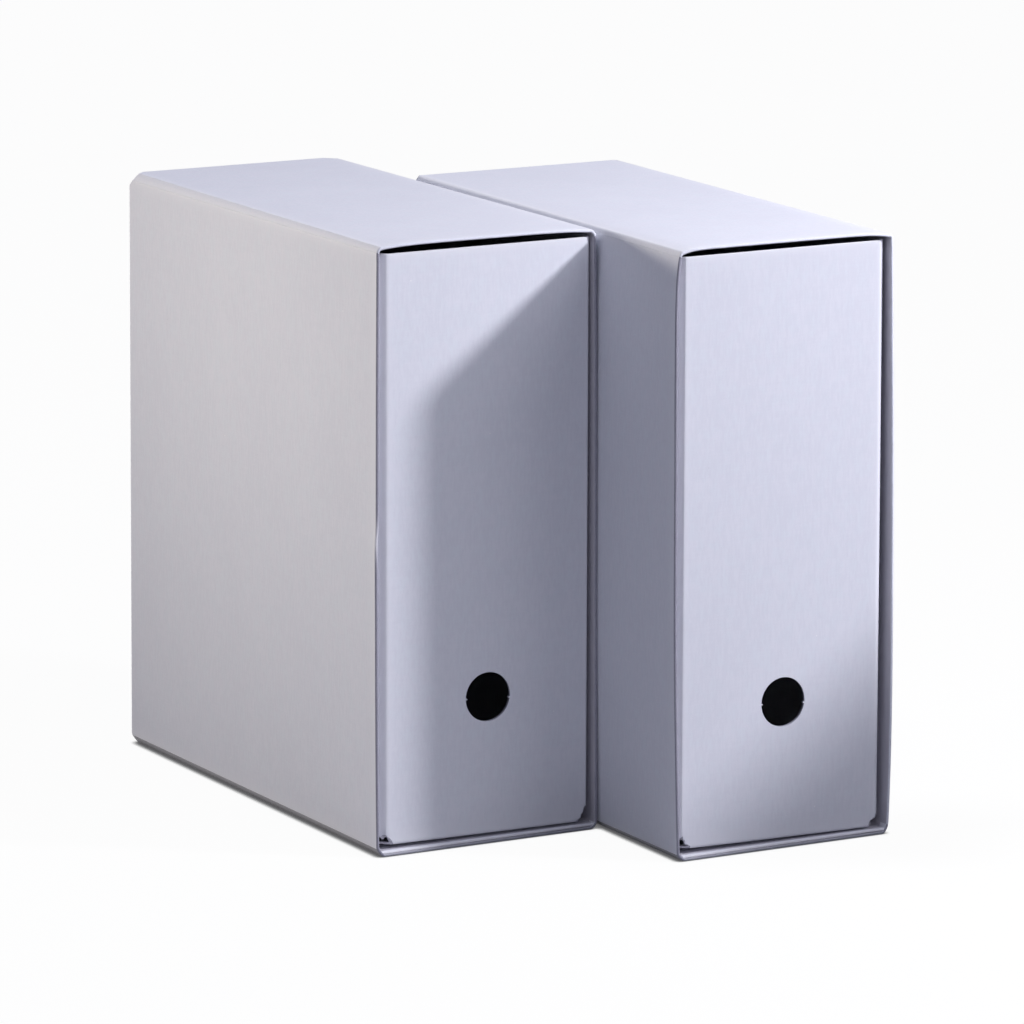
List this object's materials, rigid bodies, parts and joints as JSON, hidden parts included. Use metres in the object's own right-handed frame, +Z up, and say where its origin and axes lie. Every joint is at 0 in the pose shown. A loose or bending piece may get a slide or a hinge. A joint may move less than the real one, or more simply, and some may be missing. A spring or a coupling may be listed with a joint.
{
  "type": "magazine holder",
  "caption": "Magazine holders in pale folded board, side by side: an open-topped file with a finger hole slides out of each upright case.",
  "frame": {"origin": "on the table, at the middle of the box round both holders", "axes": "+X along the fronts to the right, +Y from the fronts to the backs, +Z up"},
  "size_m": [0.2645, 0.373, 0.3222],
  "materials": {
    "case_board": "matt, fine linen grain",
    "file_board": "matt, fine linen grain"
  },
  "bodies": {
    "case_pair": {"left_case": "case_board", "right_case": "case_board"},
    "left_inner": {"left_file": "file_board"},
    "right_inner": {"right_file": "file_board"}
  },
  "joints": [
    {"name": "left_file_slide", "type": "slide", "parent": "case_pair", "child": "left_inner", "axis": [0, -1, 0], "range_m": [0, 0.3]},
    {"name": "right_file_slide", "type": "slide", "parent": "case_pair", "child": "right_inner", "axis": [0, -1, 0], "range_m": [0, 0.3]}
  ]
}
